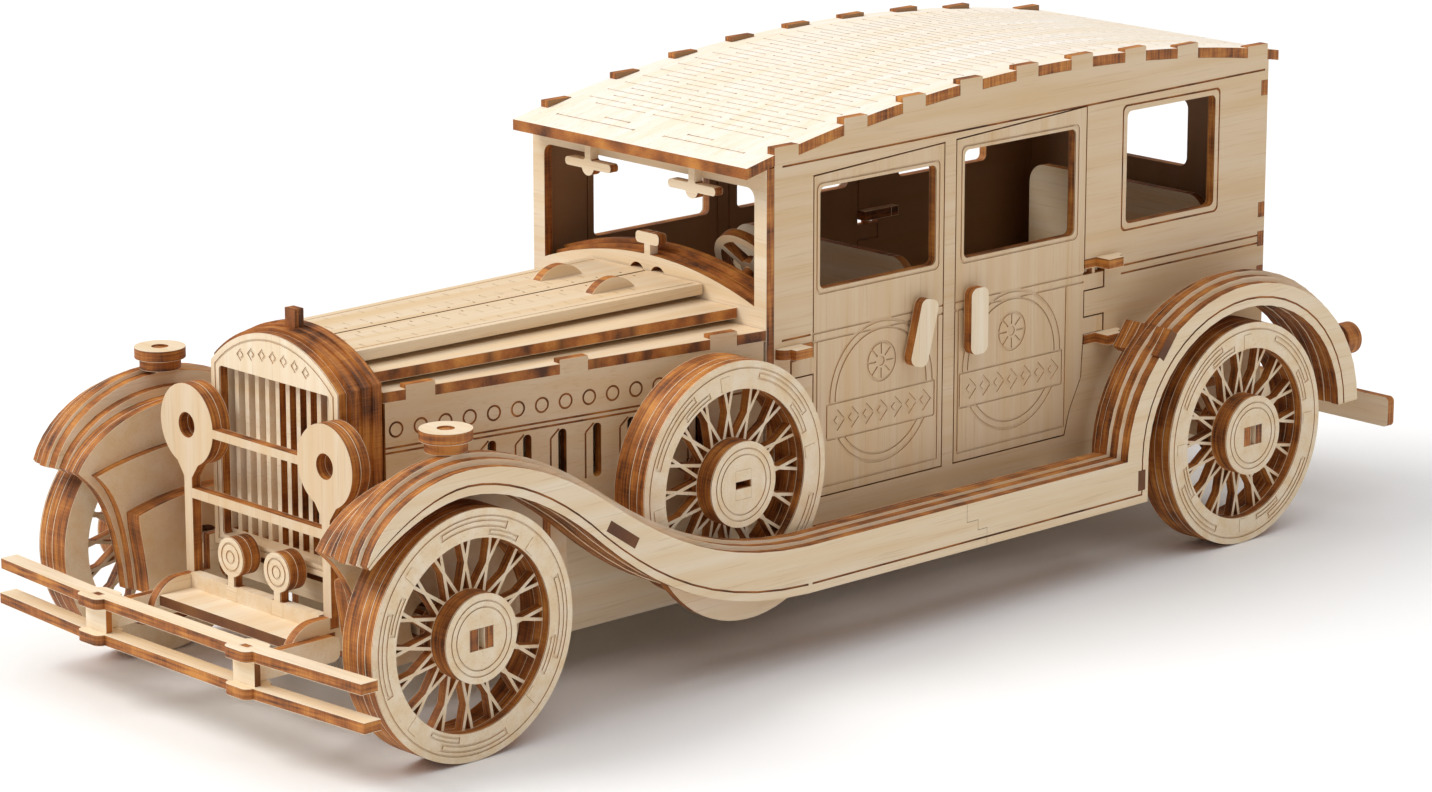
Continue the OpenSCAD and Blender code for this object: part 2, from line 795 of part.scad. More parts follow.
module radiator_front() {
    color(wood_front) car() difference() {
        plate_x(shell_back_x + 3 * ply) difference() {
            radiator2(radiator_w, radiator_h);
            round_box2(-grille_w / 2, 6, grille_w / 2, grille_top, 0.8);
        }
        plate_x(shell_back_x + 4 * ply - engrave, 1) {
            difference() {
                offset(delta = -1) radiator2(radiator_w, radiator_h);
                offset(delta = -1.4) radiator2(radiator_w, radiator_h);
            }
            // plain ornament: a wreath of diamonds over the grille
            for (i = [-3 : 3]) translate([i * 3.1, grille_top + 4.1 - 0.12 * i * i]) rotate(45) difference() {
                square(1.7, center = true);
                square(0.8, center = true);
            }
        }
    }
}

module grille() {
    pitch = (grille_w - 5) / (grille_bars - 1);
    color(wood_front) car() plate_x(shell_back_x + 2 * ply) {
        for (i = [0 : grille_bars - 1])
            translate([(i - (grille_bars - 1) / 2) * pitch, 0]) box2(-0.55, 6, 0.55, grille_top + 0.5);
        difference() {
            box2(-grille_w / 2 - 1, 5.6, grille_w / 2 + 1, grille_top + 1);
            box2(-grille_w / 2 + 0.1, 6.8, grille_w / 2 - 0.1, grille_top - 0.2);
        }
    }
}

module radiator_cap() {
    color(wood_edge) car() plate_x(shell_back_x + ply) box2(-1.4, radiator_h + 0.9, 1.4, radiator_h + 4.2);
}

module lamp_frame() {
    color(wood_front) car() plate_x(lamp_x) difference() {
        union() {
            for (s = [-1, 1]) {
                box2(s * (lamp_y - 1.1), nose_top, s * (lamp_y + 1.1), headlamp_h);
                box2(s * (lamp_y - 1), nose_top - 2, s * rail_y, nose_top + 1);
                translate([s * lamp_y, headlamp_h]) circle(d = headlamp_d);
                polygon([
                    [s * (lamp_y - 3.4), headlamp_h - 6.4], [s * (lamp_y - 1.1), headlamp_h - 9.6],
                    [s * (lamp_y + 1.1), headlamp_h - 9.6], [s * (lamp_y + 3.4), headlamp_h - 6.4]
                ]);
            }
            box2(-lamp_y, 25.2, lamp_y, 26.8);
            box2(-lamp_y, 13, lamp_y, 14.8);
        }
        for (s = [-1, 1]) translate([s * lamp_y, headlamp_h]) circle(lens_r);
    }
}

module headlamp_rings() {
    color(wood_edge) car() both_sides() plate_x(lamp_x - ply) translate([lamp_y, headlamp_h]) difference() {
        circle(d = headlamp_d);
        circle(lens_r);
    }
}

module fog_lamps() {
    color(wood_front) car() both_sides() difference() {
        union() {
            plate_x(cross_x) translate([foglamp_y, foglamp_h]) circle(d = foglamp_d);
            plate_x(cross_x) box2(foglamp_y - 0.85, cross_top, foglamp_y + 0.85, foglamp_h);
            plate_x(cross_x) box2(foglamp_y - 1.6, -3.35, foglamp_y + 1.6, cross_top);
            plate_x(cross_x - ply) translate([foglamp_y, foglamp_h]) circle(d = foglamp_d);
        }
        plate_x(cross_x + ply - engrave, 1) translate([foglamp_y, foglamp_h]) {
            ring2(2.5);
            ring2(1.1);
        }
    }
}

// ---------- bumpers ----------

// One bar: slightly bowed, with a square pad for each clip
module bumper_bar2(grow) {
    l = bumper_l / 2 + grow;
    face = bumper_front - 1.5;
    pad = 6.2;
    difference() {
        union() {
            polygon([
                [face - 1.8, l], [face, 26], [face, -26], [face - 1.8, -l],
                [face - 1.8 - bumper_deep, -l], [face - bumper_deep, -26],
                [face - bumper_deep, 26], [face - 1.8 - bumper_deep, l]
            ]);
            for (y = [-clip_y, clip_y])
                round_box2(bumper_front - pad, y - 3.4, bumper_front, y + 3.4, 1.6);
        }
        for (y = [-clip_y, clip_y]) box2(28 - fit_gap, y - 1.2, 28 + ply + fit_gap - 0.6, y + 1.2);
    }
}

module bumper_upper_bar() {
    color(wood_top) car() plate_z(bumper_z) bumper_bar2(0);
}

module bumper_lower_bar() {
    color(wood_top) car() plate_z(bumper_z - bar_drop) bumper_bar2(0.7);
}

module bumper_clips() {
    color(wood_front) car() both_sides() {
        plate_x(28, ply - 0.6) {
            box2(clip_y - 3, bumper_z - bar_drop + ply, clip_y + 3, bumper_z);
            box2(clip_y - 1.15, bumper_z - bar_drop, clip_y + 1.15, bumper_z + ply);
        }
        // bracket from the chassis horn
        plate_y(rail_y) difference() {
            round_box2(9, bumper_z - bar_drop + ply + 0.05, 29.5, bumper_z - 0.05, 1.5);
            box2(28, -20, 31, 0);
        }
    }
}

module rear_bumper() {
    back = -wheelbase - rear_overhang;
    color(wood_front) car() plate_x(back) difference() {
        round_box2(-rear_bumper_l / 2, -7.5, rear_bumper_l / 2, -1.3, 1);
        for (y = [-rail_y, rail_y - ply]) box2(y - fit_gap, -5.5 - fit_gap, y + ply + fit_gap, -3 + fit_gap);
    }
}

// ---------- fenders and running boards ----------

function front_top(g) = concat(
    curve([
        [1.03 * wheel_r + max(0.8 * g, 0), 0.75 * wheel_r],
        [0.92 * wheel_r + max(0.8 * g, g / 3), 1.07 * wheel_r + 0.6 * g],
        [0.51 * wheel_r, crown + g], [0.02 * wheel_r, crown + g]
    ]),
    curve([
        [0.02 * wheel_r, crown + g], [-0.47 * wheel_r, crown + g],
        [-0.96 * wheel_r, 1.09 * wheel_r + g], [-1.41 * wheel_r, 0.78 * wheel_r + g]
    ]),
    curve([
        [-1.41 * wheel_r, 0.78 * wheel_r + g], [-1.95 * wheel_r, 0.4 * wheel_r + g],
        [-board_front + 22, board_h + 0.4 + g], [-board_front, board_h + g * 0.6]
    ])
);
function front_low(g) = concat(
    curve([
        [wheel_r + 0.1 + 0.5 * g, 0.72 * wheel_r], [0.78 * wheel_r + 0.5 * g, 0.91 * wheel_r + 0.4 * g],
        [0.4 * wheel_r, arch + g], [0.04 * wheel_r, arch + g]
    ]),
    curve([
        [0.04 * wheel_r, arch + g], [-0.4 * wheel_r, arch + g],
        [-0.89 * wheel_r - g / 3, 0.85 * wheel_r + g], [-1.34 * wheel_r, 0.46 * wheel_r + g]
    ]),
    curve([
        [-1.34 * wheel_r, 0.46 * wheel_r + g], [-1.9 * wheel_r, g],
        [-board_front + 23, board_h - board_deep + 0.4 + g], [-board_front, board_h - board_deep + g]
    ])
);
function rear_top(g) = concat(
    [[-wheelbase + rear_arch_x + 5.9 + g, board_h + g * 0.6]],
    oval(-wheelbase, 0, rear_arch_x + 5.9 + g, wheel_r + rear_arch_gap + fender_h + g, 4, 178)
);
function rear_low(g) = concat(
    [[-wheelbase + rear_arch_x + g, board_h - board_deep + g]],
    oval(-wheelbase, 0, rear_arch_x + g, wheel_r + rear_arch_gap + g, 0, 178)
);

// Whole fender side: front tip, running board and rear tip
module fender_side2(top_g, low_g) {
    polygon(concat(front_top(top_g), rear_top(top_g), backwards(concat(front_low(low_g), rear_low(low_g)))));
}

// Front half of the side, up to the puzzle joint in the running board
module front_half2(e) {
    box2(200, -60, joint_x - e, 60);
    box2(joint_x, -60, joint_x - 5.5 - e, board_h - 5.6 + e);
    box2(joint_x, board_h - 6, joint_x - 3 - e, board_h - 3.6 + e);
}

module fender_grooves() {
    difference() {
        polygon(concat(front_low(1.9), rear_low(1.9), backwards(concat(front_low(1.5), rear_low(1.5)))));
        box2(-board_front, board_h - board_deep - 2, -board_front - 1, board_h + 3);
    }
}

// Mortise slots through the outer plate and the stack behind it
module fender_slots(e) {
    translate([-34.5, 11.4]) rotate(34) box2(-4 - e, -1 - e, 4 + e, 1 + e);
    translate([-wheelbase + rear_arch_x + 1.8, -4]) box2(-1 - e, -2 - e, 1 + e, 2 + e);
    translate([-wheelbase + 0.9 * rear_arch_x - 2, 22]) rotate(-52) box2(-3 - e, -1 - e, 3 + e, 1 + e);
}

module fender_front(side) {
    color(wood_front) car() on_side(side) difference() {
        plate_y(fender_out - ply) difference() {
            intersection() {
                fender_side2(0, 0);
                front_half2(0);
            }
            fender_slots(fit_gap);
        }
        plate_y(fender_out - engrave, 1) fender_grooves();
    }
}

module fender_rear(side) {
    color(wood_front) car() on_side(side) difference() {
        plate_y(fender_out - ply) difference() {
            fender_side2(0, 0);
            front_half2(fit_gap * 2);
            fender_slots(fit_gap);
        }
        plate_y(fender_out - engrave, 1) fender_grooves();
    }
}

// Growth of the top edge and of the lower edge of each inner layer, from the outside in
stack_top = [1, 1.8, 1.1, -1.2, -2.6];
stack_low = [0.4, 0.2, 0.2, 0, 0];

module fender_stack(side) {
    color(wood_edge) car() on_side(side) {
        for (k = [0 : fender_layers - 1]) {
            y = fender_out - (k + 2) * ply;
            plate_y(y) difference() {
                union() {
                    fender_side2(stack_top[k], stack_low[k]);
                    // round wall under the spare wheel
                    if (k == 1) intersection() {
                        translate([spare_x, spare_z]) circle(wheel_r + 2.4);
                        box2(spare_x - 30, -40, spare_x + 32, board_h - 1);
                    }
                    // tongues for the lamps
                    if (k == 2) {
                        box2(-2, crown, 1, lamp_top - 0.4);
                        box2(-wheelbase - rear_arch_x + 2, 10.4, tail_lamp_x, 13.4);
                    }
                }
                if (y < half_w + wheel_t + 0.3)
                    translate([spare_x, spare_z]) circle(wheel_r + 0.8);
                if (y < half_w + wheel_t + hub_proud)
                    translate([spare_x, spare_z]) circle(hub_d / 2 + 1);
                fender_slots(fit_gap);
            }
        }
        // pegs through the slots
        plate_y(stack_in, fender_out - stack_in) fender_slots(0);
    }
}

// Plates that close each front fender on the inside: one full wall, then lower steps towards the bonnet
module inner_fenders() {
    low = -0.29 * wheel_r;
    wall_top = front_top(stack_top[fender_layers - 1]);
    wall = concat(
        [for (i = [0 : 21]) wall_top[i]], [[-1.41 * wheel_r, low]],
        curve(wheel_r * [[0.6, -0.29], [0.68, 0.4], [0.84, 0.58], [1, 0.72]])
    );
    upper_step = concat(
        curve(wheel_r * [[-1.07, 0.69], [-0.53, 0.93], [0.27, 0.91], [0.91, 0.72]]),
        curve(wheel_r * [[0.91, 0.72], [0.78, 0.6], [0.64, 0.44], [0.58, -0.29]]),
        wheel_r * [[-1.07, -0.29]]
    );
    lower_step = concat(
        curve(wheel_r * [[-1.07, 0.31], [-0.53, 0.56], [0.18, 0.53], [0.64, 0.38]]),
        curve(wheel_r * [[0.64, 0.38], [0.64, 0.22], [0.58, 0.04], [0.56, -0.29]]),
        wheel_r * [[-1.07, -0.29]]
    );
    outlines = [wall, upper_step, lower_step, lower_step];
    color(wood_side) car() both_sides() for (i = [0 : 3]) plate_y(stack_in - (i + 1) * ply) difference() {
        polygon(outlines[i]);
        circle(norm([axle_w, axle_h]) / 2 + 0.9);
        box2(
            front_outrigger_x - fit_gap, outrigger_low - fit_gap,
            front_outrigger_x + ply + fit_gap, outrigger_low + 6 + fit_gap
        );
    }
}

module fender_lamps() {
    color(wood_top) car() both_sides() difference() {
        union() {
            translate([-0.5, fender_out - 7.4, crown + 1.85]) cylinder(r = 3.8, h = ply);
            translate([-0.5, fender_out - 7.4, crown + 1.85 + ply]) cylinder(r = 4.7, h = ply);
        }
        translate([-2 - fit_gap, fender_out - 4 * ply - fit_gap, 0])
            cube([3 + 2 * fit_gap, ply + 2 * fit_gap, lamp_top - 0.35 + fit_gap]);
        translate([-0.5, fender_out - 7.4, lamp_top - 0.35]) cylinder(r = 1.6, h = 3);
    }
}

module tail_lamps() {
    color(wood_edge) car() both_sides() for (i = [0, 1]) plate_x(tail_lamp_x + i * ply) difference() {
        translate([fender_out - 7, 11.9]) circle(3.3);
        box2(fender_out - 4 * ply - fit_gap, 10.4 - fit_gap, fender_out - 3 * ply + fit_gap, 13.4 + fit_gap);
    }
}

// ---------- wheels ----------

// The wheel modules draw on the wheel's own axis, with the outer face at z = 0 looking along +z

module peg_slots2(turn, e) {
    for (a = [0 : 90 : 270]) rotate(a + turn) translate([wheel_r - 3.6, 0])
        square([2.6 + e, 2.1 + e], center = true);
}

// Band along an arc with square ends
module arc_band2(r, w, a, b) {
    polygon(concat(oval(0, 0, r + w / 2, r + w / 2, a, b, 8), oval(0, 0, r - w / 2, r - w / 2, b, a, 8)));
}

module tyre(turn) {
    for (i = [0 : wheel_layers - 1]) if (i != 1) {
        translate([0, 0, -(i + 1) * ply]) difference() {
            linear_extrude(ply) difference() {
                circle(wheel_r);
                circle(spoke_out_r);
                peg_slots2(turn, 2 * fit_gap);
            }
            if (i == 0) translate([0, 0, ply - engrave]) linear_extrude(1) {
                ring2(wheel_r - 1.3, 0.35);
                for (a = [0 : 90 : 270]) rotate(a + turn) {
                    difference() {
                        arc_band2(wheel_r - 2.6, 1.4, 22, 66);
                        arc_band2(wheel_r - 2.6, 0.6, 23.5, 64.5);
                    }
                    difference() {
                        arc_band2(spoke_out_r + 1.05, 1.2, 12, 34);
                        arc_band2(spoke_out_r + 1.05, 0.4, 13.5, 32.5);
                    }
                }
            }
        }
    }
    translate([0, 0, -wheel_t]) linear_extrude(wheel_t + peg_proud) peg_slots2(turn, 0);
}

module axle_hole2(turn) {
    rotate(turn) square([axle_w + 2 * fit_gap, axle_h + 2 * fit_gap], center = true);
}

module spoke_plate(turn, axle_turn) {
    rim = spoke_out_r + 0.4;
    hub = hub_d / 2 - 1;
    translate([0, 0, -2 * ply]) linear_extrude(ply) difference() {
        union() {
            difference() {
                circle(wheel_r);
                circle(spoke_out_r);
            }
            circle(hub_d / 2);
            for (i = [0 : spoke_pairs - 1], s = [-1, 1]) {
                a = i * 360 / spoke_pairs;
                stroke2(
                    rim * [cos(a + s * 56 / spoke_pairs), sin(a + s * 56 / spoke_pairs)],
                    hub * [cos(a - s * 170 / spoke_pairs), sin(a - s * 170 / spoke_pairs)],
                    spoke_w
                );
            }
        }
        peg_slots2(turn, 2 * fit_gap);
        axle_hole2(axle_turn);
    }
}

module hub(axle_turn) {
    difference() {
        union() {
            translate([0, 0, -ply]) cylinder(d = hub_d, h = ply);
            cylinder(d = hub_d, h = ply);
            translate([0, 0, -wheel_t]) cylinder(d = hub_d - 5, h = wheel_t - 2 * ply);
        }
        translate([0, 0, -wheel_t - 1]) linear_extrude(wheel_t + hub_proud + 2) axle_hole2(axle_turn);
        translate([0, 0, ply - engrave]) linear_extrude(1) {
            ring2(0.84 * hub_d / 2, 0.3);
            ring2(0.7 * hub_d / 2, 0.3);
        }
    }
}

// Puts a wheel drawn on the z axis at both ends of an axle
module wheel_pair(x, z, face) {
    both_sides() translate([x, face, z]) rotate([-90, 0, 0]) children();
}

module axle_strips(reach, turn) {
    for (s = [-1, 1]) rotate([90, 0, 0]) rotate(turn) translate([s * (axle_w / 2 - ply / 2), 0, -reach])
        linear_extrude(2 * reach) square([ply, axle_h], center = true);
}

module axle(x) {
    color(wood_edge) car() translate([x, 0, 0]) {
        axle_strips(fender_out + ply, 0);
        both_sides() plate_y(rail_y - ply) difference() {
            circle(d = bush_d);
            for (s = [-1, 1]) translate([s * (axle_w / 2 - ply / 2), 0])
                square([ply + 2 * fit_gap, axle_h + 2 * fit_gap], center = true);
        }
    }
}

// Two stacked strips from inside the bonnet out to the spare wheel's cap
module spare_arms() {
    run = wheel_t + hub_proud + 7;
    for (s = [-1, 1]) translate([spare_x, half_w + wheel_t + hub_proud - run, spare_z + s * (axle_w - ply) / 2])
        translate([-axle_h / 2, 0, -ply / 2]) cube([axle_h, run, ply]);
}

// How far each wheel has turned on its axle
front_turn = 45;
rear_turn = 0;
spare_turn = 8;

chassis_rail("left");  // chassis_rail_left
chassis_rail("right");  // chassis_rail_right
floor_plate();
front_cross_plates();
windscreen_frame();
dashboard();
side_panel("left");  // side_panel_left
side_panel("right");  // side_panel_right
rear_panel();
roof();
door_hinge_plates();
front_seat();
rear_seat();
radiator_shell();
radiator_front();
grille();
radiator_cap();
lamp_frame();
headlamp_rings();
fog_lamps();
bumper_upper_bar();
bumper_lower_bar();
bumper_clips();
rear_bumper();
fender_front("left");  // fender_front_left
fender_front("right");  // fender_front_right
fender_rear("left");  // fender_rear_left
fender_rear("right");  // fender_rear_right
fender_stack("left");  // fender_stack_left
fender_stack("right");  // fender_stack_right
inner_fenders();
fender_lamps();
tail_lamps();
bonnet_side("left");  // bonnet_side_left
bonnet_side("right");  // bonnet_side_right
bonnet_shelves();
sun_visors();
mirror_piece();  // mirror
color(wood_edge) car()  // spare_tyres
    wheel_pair(spare_x, spare_z, half_w + wheel_t) tyre(spare_turn);
color(wood_front) car()  // spare_spokes
    wheel_pair(spare_x, spare_z, half_w + wheel_t) spoke_plate(spare_turn, 90);
color(wood_edge) car() {  // spare_hubs
    wheel_pair(spare_x, spare_z, half_w + wheel_t) hub(90);
    both_sides() spare_arms();
}
bonnet_flap("left");  // bonnet_flap_left
bonnet_flap("right");  // bonnet_flap_right
steering_wheel();
axle(0);  // front_axle
color(wood_edge) car()  // front_tyres
    wheel_pair(0, 0, fender_out) tyre(front_turn);
color(wood_front) car()  // front_spokes
    wheel_pair(0, 0, fender_out) spoke_plate(front_turn, 0);
color(wood_edge) car() wheel_pair(0, 0, fender_out) hub(0);  // front_hubs
axle(-wheelbase);  // rear_axle
color(wood_edge) car()  // rear_tyres
    wheel_pair(-wheelbase, 0, fender_out) tyre(rear_turn);
color(wood_front) car()  // rear_spokes
    wheel_pair(-wheelbase, 0, fender_out) spoke_plate(rear_turn, 0);
color(wood_edge) car() wheel_pair(-wheelbase, 0, fender_out) hub(0);  // rear_hubs
door_front("left");  // door_front_left
door_front("right");  // door_front_right
door_rear("left");  // door_rear_left
door_rear("right");  // door_rear_right
handle_front("left");  // handle_front_left
handle_front("right");  // handle_front_right
handle_rear("left");  // handle_rear_left
handle_rear("right");  // handle_rear_right
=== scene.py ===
# %% [markdown]
# # A laser-cut plywood car
# The real object is a kit: a saloon car of the 1920s, cut from birch plywood 2 mm thick and pushed
# together without screws. Everything the eye sees is one of three things: the pale face of the sheet,
# the burnt edge that the laser leaves, or a line that the laser has only scorched.
# The plates come from the CAD model with their real sizes, so this lesson gives them their wood and
# adds the finest laser work, which is too thin for a solid model.

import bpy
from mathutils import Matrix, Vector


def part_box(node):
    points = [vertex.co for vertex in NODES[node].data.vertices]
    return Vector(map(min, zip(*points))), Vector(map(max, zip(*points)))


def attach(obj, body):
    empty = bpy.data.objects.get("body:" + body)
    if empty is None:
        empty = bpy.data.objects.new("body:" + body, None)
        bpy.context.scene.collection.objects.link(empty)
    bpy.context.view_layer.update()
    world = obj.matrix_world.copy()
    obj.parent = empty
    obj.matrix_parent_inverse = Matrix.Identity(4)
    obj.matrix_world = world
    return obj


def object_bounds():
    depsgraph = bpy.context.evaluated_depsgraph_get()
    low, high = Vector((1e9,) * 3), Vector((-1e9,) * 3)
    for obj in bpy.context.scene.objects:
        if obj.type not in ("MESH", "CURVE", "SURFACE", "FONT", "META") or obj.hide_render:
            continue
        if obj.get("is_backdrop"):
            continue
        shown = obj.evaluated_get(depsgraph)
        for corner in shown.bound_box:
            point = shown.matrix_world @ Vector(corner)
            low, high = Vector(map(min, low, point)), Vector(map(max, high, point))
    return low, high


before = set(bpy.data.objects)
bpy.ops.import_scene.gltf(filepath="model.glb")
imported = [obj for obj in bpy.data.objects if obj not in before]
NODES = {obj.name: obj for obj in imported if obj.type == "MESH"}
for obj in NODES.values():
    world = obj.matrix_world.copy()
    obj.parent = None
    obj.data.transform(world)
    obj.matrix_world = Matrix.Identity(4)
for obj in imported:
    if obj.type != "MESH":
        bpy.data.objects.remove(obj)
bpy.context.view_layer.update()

import math
import bpy
import numpy as np
from mathutils import Matrix, Vector

MM = 0.001
SHEET = 2.0 * MM
CABIN = np.array([-45.0, 0.0, 65.0]) * MM

# %% [markdown]
# ## Colours
# Birch is nearly white with a little honey in it. The laser turns its edge to caramel and, where the
# beam was slow, to a dark brown. Colours are written as the sRGB values that a painter would pick,
# and a shader wants linear light, so one function turns them.

# %% Colour values
SRGB_KNEE = 0.04045


def linear(code):
    """sRGB hex to linear RGBA: a channel c becomes ((c + 0.055) / 1.055) ** 2.4, or c / 12.92 near black."""
    c = np.array([int(code[i:i + 2], 16) for i in (1, 3, 5)]) / 255.0
    return tuple(np.where(c <= SRGB_KNEE, c / 12.92, ((c + 0.055) / 1.055) ** 2.4)) + (1.0,)


# colour of a top face in full light: painted light on the roof
FACE_LIT_TOP = "#FBF3E8"
FACE_PALE = "#F9E9CF"
FACE_WARM = "#EFD4AB"
FACE_LINE = "#BF9258"
# dark brown of the painted shade on the inner faces of the cabin and under the roof
FACE_INSIDE_SHADE = "#85531F"
EDGE_LIGHT = "#CF8A3C"
EDGE_MID = "#A35E22"
EDGE_DARK = "#502A0E"
print("pale face in linear light:", np.round(linear(FACE_PALE)[:3], 3))

# %% [markdown]
# ## Nodes in one line each
# A material is a small network of nodes. It could be drawn by hand in the shader editor, but sixty
# plates need sixty networks that differ in a few numbers. One function that adds a node and wires its
# inputs keeps each step of the network on one line, and short helpers on top of it name the steps.

# %% Functions that add shader nodes
def add(tree, kind, sockets=None, **settings):
    """A node with its own settings; sockets maps an input to a value or to another node's output."""
    node = tree.nodes.new(kind)
    for name, value in settings.items():
        setattr(node, name, value)
    for name, value in (sockets or {}).items():
        if isinstance(value, bpy.types.NodeSocket):
            tree.links.new(value, node.inputs[name])
        else:
            node.inputs[name].default_value = value
    return node


def calc(tree, operation, *values):
    """One arithmetic step on its values, such as ADD, MAXIMUM or COMPARE."""
    return add(tree, "ShaderNodeMath", dict(enumerate(values)), operation=operation).outputs[0]


def distance_along(tree, place, normal):
    """How far a point lies along a direction: dot(place, normal)."""
    sockets = {0: place, 1: tuple(normal)}
    return add(tree, "ShaderNodeVectorMath", sockets, operation="DOT_PRODUCT").outputs["Value"]


def spread(tree, value, low, high, to_low=0.0, to_high=1.0):
    """Straight-line change of a value from one range to another, held at the ends."""
    sockets = {"Value": value, "From Min": low, "From Max": high, "To Min": to_low, "To Max": to_high}
    return add(tree, "ShaderNodeMapRange", sockets).outputs[0]


def noise_at(tree, place, size, shift=0.0, detail=2.0):
    """Noise whose blobs are size (x, y, z) in metres."""
    scale = tuple(1 / np.array(size, float))
    sockets = {"Vector": place, "Scale": scale, "Location": (shift,) * 3}
    at = add(tree, "ShaderNodeMapping", sockets).outputs[0]
    return add(tree, "ShaderNodeTexNoise", {"Vector": at, "Scale": 1.0, "Detail": detail}).outputs["Fac"]


def blend(tree, factor, first, second):
    """Mix of two colours; each is a linear RGBA or another node's output."""
    return add(tree, "ShaderNodeMix", {"Factor": factor, 6: first, 7: second}, data_type="RGBA").outputs[2]


def new_material(name):
    """An empty material and its node tree."""
    mat = bpy.data.materials.new(name)
    mat.use_nodes = True
    mat.node_tree.nodes.clear()
    return mat, mat.node_tree


def add_wood(tree, colour, roughness, **more):
    """The surface itself: bare wood of that colour, with an IOR of about 1.5."""
    sockets = {"Base Color": colour, "Roughness": roughness, "IOR": 1.5, **more}
    wood = add(tree, "ShaderNodeBsdfPrincipled", sockets)
    add(tree, "ShaderNodeOutputMaterial", {"Surface": wood.outputs[0]})


print("shader helpers ready")

# %% [markdown]
# ## Where is the face of a plate?
# A sheet of plywood has two big flat faces, and everything between them was cut by the laser. The
# faces could be picked by hand, plate by plate, but they can also be measured: each triangle of a
# mesh has a centre, a direction and an area. A normal and its opposite are turned the same way, so
# that both faces of a sheet count as one direction.

# %% Triangles of a node
SMALLEST_AREA = 1e-12
LEAST_PART = 0.05


def triangles(node):
    """Centres, unit normals and areas in square metres of a mesh's triangles, slivers left out."""
    mesh = NODES[node].data
    mesh.calc_loop_triangles()
    points = np.empty(len(mesh.vertices) * 3)
    mesh.vertices.foreach_get("co", points)
    corners = np.empty(len(mesh.loop_triangles) * 3, int)
    mesh.loop_triangles.foreach_get("vertices", corners)
    tri = points.reshape(-1, 3)[corners.reshape(-1, 3)]
    cross = np.cross(tri[:, 1] - tri[:, 0], tri[:, 2] - tri[:, 0])
    area = np.linalg.norm(cross, axis=1) / 2
    good = area > SMALLEST_AREA
    normal = cross[good] / (2 * area[good, None])
    lead = np.argmax(np.abs(normal) > LEAST_PART, axis=1)
    normal *= np.sign(normal[np.arange(len(normal)), lead])[:, None]
    return tri[good].mean(axis=1), normal, area[good]


print("triangles of the rear panel:", len(triangles("rear_panel")[2]))

# %% [markdown]
# ## The planes with the most area
# Triangles with the same direction and the same distance from the origin lie in one plane. The planes
# with the most area are the faces. A cut edge can be large too, but it has no partner one sheet away
# on the other side, and a face has. A stack of glued sheets is thicker than one sheet, so there the
# rule is simpler: its faces are the planes that look sideways, along Y.

# %% Measure the face planes of a node
NORMAL_STEPS = 200
AWAY_STEP = 0.04 * MM
MOST_PLANES = 14
PARALLEL = 0.9999
SIDEWAYS = 0.99
THIN_SHEET, THICK_SHEET = 1.3 * MM, 2.06 * MM


def has_partner(plane, planes):
    """Whether another plane is parallel to this one and a sheet's thickness away from it."""
    for normal, away in planes:
        turn = plane[0] @ normal
        gap = abs(plane[1] - away * np.sign(turn))
        if abs(turn) > PARALLEL and THIN_SHEET < gap < THICK_SHEET:
            return True
    return False


def face_planes(node, share, stack):
    """Planes (unit normal, distance), largest first, down to that share of the largest plane's area."""
    centre, normal, area = triangles(node)
    away = np.einsum("ij,ij->i", normal, centre)
    key = np.column_stack([np.round(normal * NORMAL_STEPS), np.round(away / AWAY_STEP)])
    where = np.unique(key, axis=0, return_inverse=True)[1].ravel()
    total = np.bincount(where, area)
    mean_normal = np.column_stack([np.bincount(where, area * normal[:, k]) / total for k in range(3)])
    mean_away = np.bincount(where, area * away) / total
    order = np.argsort(-total)
    if stack:
        order = order[np.abs(mean_normal[order, 1]) > SIDEWAYS]
    order = order[total[order] > share * total[order[0]]]
    planes = [(mean_normal[i] / np.linalg.norm(mean_normal[i]), float(mean_away[i])) for i in order]
    if not stack:
        planes = [plane for plane in planes if has_partner(plane, planes)]
    return planes[:MOST_PLANES]


for normal, away in face_planes("rear_panel", 0.1, False):
    print("rear panel: a face with normal", np.round(normal, 2).tolist(), "at", round(away / MM, 2), "mm")

# %% [markdown]
# ## Face, back or edge
# Two masks say what a point is. It is face if it lies in one of the face planes, and cut wood if it doesn't,
# which also holds for the bottom of an engraved line. The inner side of the body plates gets painted shade, a
# dark brown for the shade inside the cabin: it is the face nearer to the middle of the cabin. The bent roof
# has no plane, so there the direction decides, and its underside gets the same painted shade.

# %% Masks for the faces and for the smoked back
FACE_REACH = 0.07 * MM
SAME_WAY = 1e-3
NEARLY_LEVEL = 0.9


def flat_masks(tree, place, planes, inside):
    """On a face, and on the back that gets painted shade, which is None for plates that aren't a wall of the
    cabin.
    """
    on_face = add(tree, "ShaderNodeValue").outputs[0]
    on_face.default_value = 0.0
    on_shaded_back = None
    for normal, away in planes:
        hit = calc(tree, "COMPARE", distance_along(tree, place, normal), away, FACE_REACH)
        on_face = calc(tree, "MAXIMUM", on_face, hit)
        partners = [
            abs(n @ CABIN - d) for n, d in planes if abs(abs(n @ normal) - 1) < SAME_WAY and d != away
        ]
        if inside and on_shaded_back is None and partners:
            nearer = abs(normal @ CABIN - away) < min(partners)
            on_shaded_back = hit if nearer else calc(tree, "SUBTRACT", 1.0, hit)
    return on_face, on_shaded_back


def bent_masks(tree, normal):
    """The same for a bent plate: face where it is nearly level, back with painted shade where it looks down.
    """
    upward = add(tree, "ShaderNodeSeparateXYZ", {0: normal}).outputs["Z"]
    on_face = calc(tree, "GREATER_THAN", calc(tree, "ABSOLUTE", upward), NEARLY_LEVEL)
    return on_face, calc(tree, "LESS_THAN", upward, 0.0)


print("masks for flat plates and for the bent roof")

# %% [markdown]
# ## The face of birch plywood
# Rotary-cut birch has a very fine, straight figure: fibres a few tenths of a millimetre apart, with
# short darker dashes, and slow changes of tone over 20 to 40 mm. A picture of wood could be laid on
# each plate, but noise that is stretched along the grain has no seams and works at every size.

